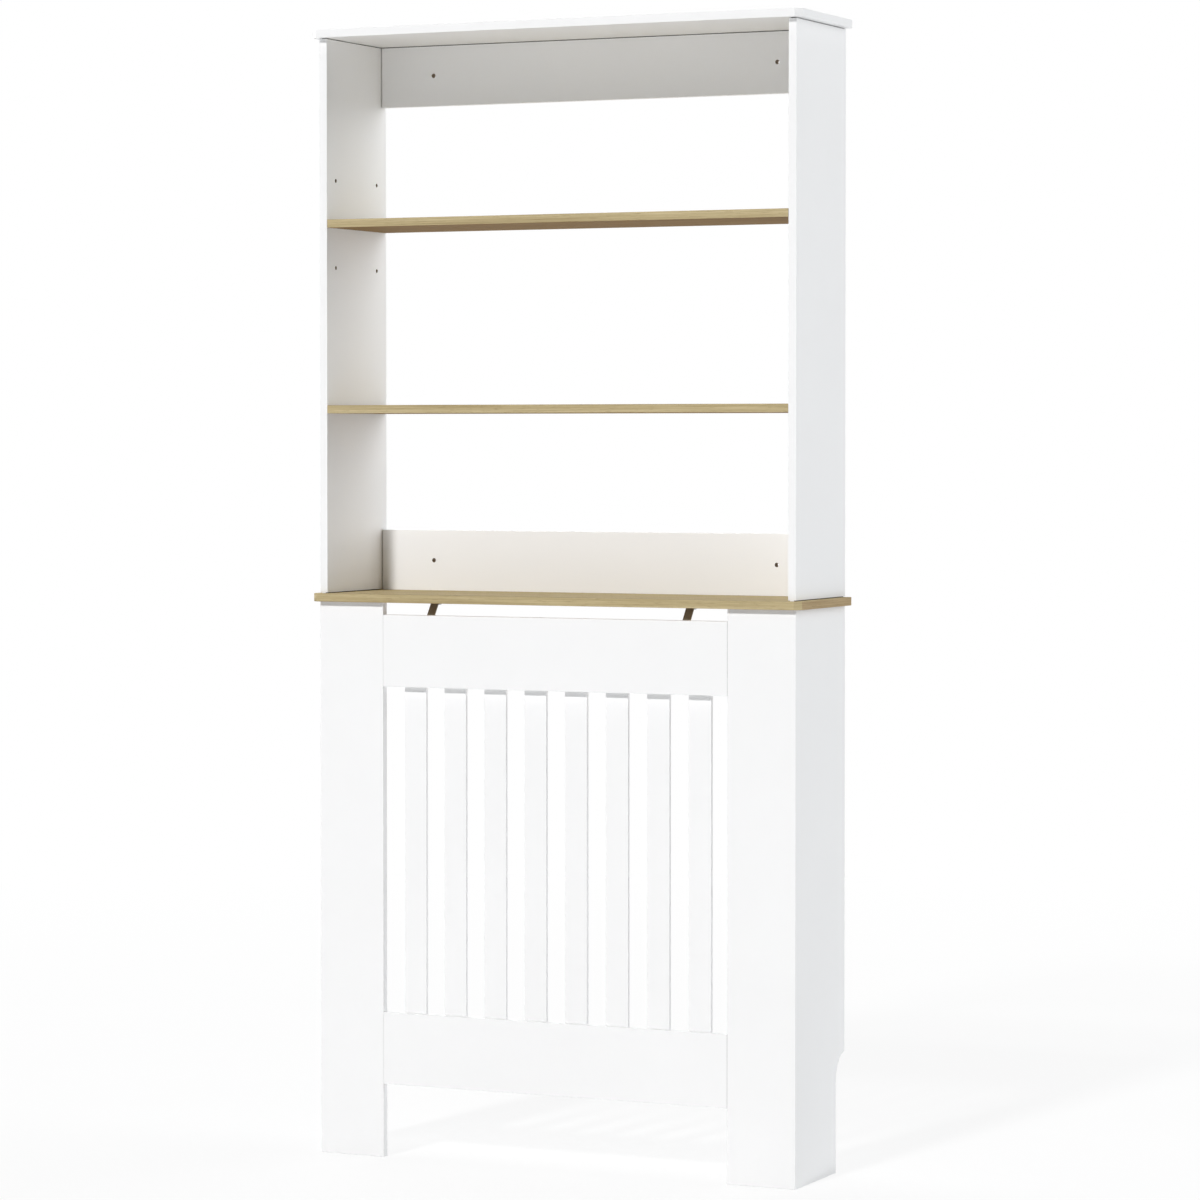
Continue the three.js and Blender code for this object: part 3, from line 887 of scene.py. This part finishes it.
def leg_side_outline(front, back, top):
    """The side of a leg, seen from the right: a rectangle less a notch with straight front and round top.
    The round is centre + radius . (cos t, sin t), from the notch's front until it meets the back edge."""
    centre = np.array((NOTCH_FRONT + NOTCH_RADIUS, NOTCH_RISE))
    t = np.linspace(math.pi, math.acos((back - centre[0]) / NOTCH_RADIUS), 12)
    arc = centre + NOTCH_RADIUS * np.stack([np.cos(t), np.sin(t)], axis=1)
    return np.concatenate([[(front, 0), (NOTCH_FRONT, 0)], arc, [(back, top), (front, top)]])


for side, sign in (("left", -1), ("right", 1)):
    node = "front_stile_" + side
    low, high = local_box(node, "across")
    front = rectangle(low[0], low[1], high[0], high[1])
    mitred = 1 if sign > 0 else 3
    back = front.copy()
    back[[1, 2] if sign > 0 else [0, 3], 0] -= sign * BOARD
    make_board(node, "across", back, front, eased=np.arange(4) != mitred)

    node = "lower_side_" + side
    low, high = local_box(node, "side")
    inner = leg_side_outline(low[0] + BOARD, high[0], high[1])
    outer = leg_side_outline(low[0] + SEAM, high[0], high[1])
    near, far = (inner, outer) if sign > 0 else (outer, inner)
    make_board(node, "side", near, far, eased=np.arange(len(inner)) != len(inner) - 1)

    face, start = high[2] if sign > 0 else -low[2], low[0]
    t = np.linspace(-math.pi / 2, 0, 5)
    arris = np.array((face - SEAM, start + SEAM)) + SEAM * np.stack([np.cos(t), np.sin(t)], axis=1)
    seam = np.concatenate([arris, [(face - BOARD, start + BOARD), (face - BOARD - SEAM, start + BOARD)]])
    seam = seam if sign > 0 else (seam * (-1, 1))[::-1]
    rings = [at_height(seam, height) for height in (0, high[1])]
    keep(solid("mitre_seam_" + side, np.stack(rings), "flat", lacquer), "white_lacquer")

# %% [markdown]
# ## Braces
#
# A brace is flat steel strip, bent twice: it lies on the back of the grille's top rail, slopes back through
# the vent gap and lies under the countertop. A strip could be a Bezier curve with a bevel. Here a rounded
# rectangle is carried along a line of straight runs and arcs, because the bends then have a true radius.

# %% Braces
LEAN = math.radians(54)
BEND_RADIUS = 0.003
FLANGE = 0.026
REACH = 0.024
STRIP_EDGE = 0.0004


def turn_by(direction, angle):
    """Directions turned counter-clockwise by angles, as an array of one row for each angle."""
    cos, sin = np.cos(angle), np.sin(angle)
    first, second = direction
    return np.stack([first * cos - second * sin, first * sin + second * cos], axis=1)


def bent_line(corners, radius, steps=6):
    """Points and directions along straight runs joined by arcs. An arc touches both runs at radius .
    tan(turn / 2) from the corner, and its points are centre - radius . (the inward normal, turned)."""
    runs = np.diff(corners, axis=0)
    runs = runs / np.linalg.norm(runs, axis=1, keepdims=True)
    points, directions = [corners[:1]], [runs[:1]]
    for corner, before, after in zip(corners[1:-1], runs[:-1], runs[1:]):
        turn = math.atan2(before[0] * after[1] - before[1] * after[0], before @ after)
        inward = math.copysign(1, turn) * np.array((-before[1], before[0]))
        centre = corner - before * radius * math.tan(abs(turn) / 2) + inward * radius
        angle = np.linspace(0, turn, steps + 1)
        points.append(centre - radius * turn_by(inward, angle))
        directions.append(turn_by(before, angle))
    points.append(corners[-1:])
    directions.append(runs[-1:])
    return np.concatenate(points), np.concatenate(directions)


for side in ("left", "right"):
    node = "brace_" + side
    low, high = box_of(node)
    on_rail = low[1] + STRIP / 2
    under_top = high[2] - STRIP / 2
    bend_height = low[2] + FLANGE
    bend_back = on_rail + (under_top - bend_height) / math.tan(LEAN)
    corners = [(on_rail, low[2]), (on_rail, bend_height)]
    corners += [(bend_back, under_top), (bend_back + REACH, under_top)]
    points, directions = bent_line(np.array(corners), BEND_RADIUS)
    profile = rectangle(low[0], -STRIP / 2, high[0], STRIP / 2)
    profile = rounded(profile, STRIP_EDGE, steps=2)
    across = np.broadcast_to(profile[:, 0], (len(points), len(profile)))
    outward = np.stack([directions[:, 1], -directions[:, 0]], axis=1)
    places = points[:, None] + outward[:, None] * profile[None, :, 1:]
    stack = np.concatenate([across[..., None], places], axis=-1)
    brace = solid(node + "_finished", stack, "flat", bronze)
    drills = drills_for(node)
    cut(brace, drills)
    keep(brace, "bronzed_steel", node)
    print(brace.name, "drilled", len(drills), "times")

# %% [markdown]
# ## Screws and caps
#
# The braces' screws have pan heads with a cross recess. The top board's screws are countersunk under white
# plastic caps that sit flush, since nobody wants to see them on the top. All of them are lathe shapes, and
# the recess is one more drill: a tapered cross.

# %% Screws and caps
PAN_HEAD = [(0.0011, -0.0022), (0.0023, -0.002), (0.0031, -0.0014), (0.0035, -0.0006), (0.0035, 0)]
HEAD_TOP = 0.0022  # height of a pan head
RECESS_ARM, RECESS_REACH, RECESS_DEPTH, RECESS_TAPER = 0.0005, 0.0019, 0.0012, 0.0003
CAP_THICKNESS = 0.001
CAP_PLAY = 0.0002
TIP = 0.0004  # radius of a screw's blunt tip
BRACE_TAPER, TOP_TAPER = 0.75, 0.9  # share of a shank's length at which it starts to taper


def cross_drill(middle, height, lie):
    """A cross-shaped drill that starts above a head's top and narrows into it. One arm's three corners are
    turned by quarter turns, (x, y) to (-y, x), to make all four."""
    arm = np.array([(RECESS_ARM, -RECESS_REACH), (RECESS_ARM, -RECESS_ARM), (RECESS_REACH, -RECESS_ARM)])
    arms = [arm]
    for _ in range(3):
        arms.append(arms[-1] @ np.array([(0, 1), (-1, 0)]))
    wide = np.concatenate(arms) + middle
    narrow = inset(wide, RECESS_TAPER)
    levels = ((wide, height - OPEN_PAST), (wide, height), (narrow, height + RECESS_DEPTH))
    rings = [at_height(shape, level) for shape, level in levels]
    return solid("cross", np.stack(rings), lie, zinc)


def smooth(piece, sharp=35):
    """Smooth shading, with edges sharper than so many degrees left sharp."""
    piece.data.shade_smooth()
    piece.data.set_sharp_from_angle(angle=math.radians(sharp))
    return piece


for name, lie, seat in brace_screws:
    place = LIE[lie] @ seat
    shank = [(SHANK_RADIUS, 0), (SHANK_RADIUS, SHANK_LENGTH * BRACE_TAPER), (TIP, SHANK_LENGTH)]
    profile = [(radius, place[2] + height) for radius, height in PAN_HEAD + shank]
    screw = turned(name, profile, place[:2], lie, zinc)
    cut(screw, [cross_drill(place[:2], place[2] - HEAD_TOP, lie)])
    keep(smooth(screw), "zinc_steel")

cap_floor = roof - CAP_POCKET
for number, place in enumerate(TOP_SCREWS, start=1):
    profile = [
        (TIP, roof - TOP_SHANK_END),
        (TOP_SHANK_RADIUS, roof - TOP_SHANK_END * TOP_TAPER),
        (TOP_SHANK_RADIUS, cap_floor),
        (CAP_RADIUS - CAP_PLAY, cap_floor),
        (CAP_RADIUS - CAP_PLAY, roof - CAP_THICKNESS),
    ]
    screw = turned(f"top_screw_{number}", profile, place, "flat", zinc)
    keep(smooth(screw), "zinc_steel")
    rim = CAP_RADIUS
    profile = [(rim, roof - CAP_THICKNESS), (rim, roof - CAP_PLAY), (rim - CAP_PLAY, roof)]
    cap = turned(f"top_cap_{number}", profile, place, "flat", lacquer)
    keep(smooth(cap), "white_lacquer")
print(len(brace_screws), "brace screws,", len(TOP_SCREWS), "top screws under caps")

# %% [markdown]
# ## Brads
#
# The slats are pinned to the rails from behind, with two brads at each end. Thirty-two heads are one piece:
# the vertices of a single low dome are added to every place at once.

# %% Brads in the slats
BRAD_RADIUS = 0.0014
BRAD_SPREAD = 0.009  # from a slat's middle line
BRAD_DOME = [(0.0005, -0.00035), (0.001, -0.00028), (BRAD_RADIUS, -0.0001), (BRAD_RADIUS, 0)]


def repeated(name, unit, places):
    """One object with a copy of unit at every place: all vertices plus all places, flattened."""
    count = len(unit.data.vertices)
    shape = np.empty(count * 3)
    unit.data.vertices.foreach_get("co", shape)
    vertices = (places[:, None] + shape.reshape(1, count, 3)).reshape(-1, 3)
    faces = [
        [corner + copy * count for corner in face.vertices]
        for copy in range(len(places))
        for face in unit.data.polygons
    ]
    mesh = bpy.data.meshes.new(name)
    mesh.from_pydata(vertices, [], faces)
    mesh.materials.append(unit.data.materials[0])
    bpy.data.objects.remove(unit)
    made = bpy.data.objects.new(name, mesh)
    scene.collection.objects.link(made)
    return made


boxes = [box_of(node) for node in slats]
middles = np.array([(low[0] + high[0]) / 2 for low, high in boxes])
back_face = boxes[0][1][1]
grille_heights = [
    (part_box("grille_top_rail")[0].z + boxes[0][1][2]) / 2,
    (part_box("grille_bottom_rail")[1].z + boxes[0][0][2]) / 2,
]
spread = (middles[:, None] + np.array([-BRAD_SPREAD, BRAD_SPREAD])).ravel()
across, heights = np.meshgrid(spread, grille_heights)
places = np.column_stack([across.ravel(), np.full(across.size, back_face), heights.ravel()])
dome = turned("brad", BRAD_DOME, (0, 0), "across", zinc, sides=12)
brads = keep(smooth(repeated("slat_brads", dome, places)), "zinc_steel")
print(len(places), "brads in one piece of", len(brads.data.polygons), "faces")

# %% [markdown]
# ## Hidden fittings
#
# Cams, bolts, pegs and dowels keep the shape that the frame gives them. They only need their finishes, which
# go into the material slots of the frame's own objects.

# %% Finishes of the fittings
dressed = 0
for name, node in nodes.items():
    finish_used = {"cam": zinc, "she": zinc, "dow": beech}.get(name[:3])
    if finish_used:
        for slot in node.material_slots:
            slot.material = finish_used
        dressed += 1
print(dressed, "fittings dressed")

# %% [markdown]
#
# The finished cabinet has to fit the measured one. Both boxes are gathered, and the last line prints how far
# the finished one has grown past the measured one.

# %% Size
visual_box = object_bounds()
sizes = {
    "cad": [list(corner) for corner in cad_box],
    "visual": [list(corner) for corner in visual_box],
}
print("grown by", [round((b - a) * 1000, 3) for a, b in zip(sizes["cad"][1], sizes["visual"][1])], "mm")
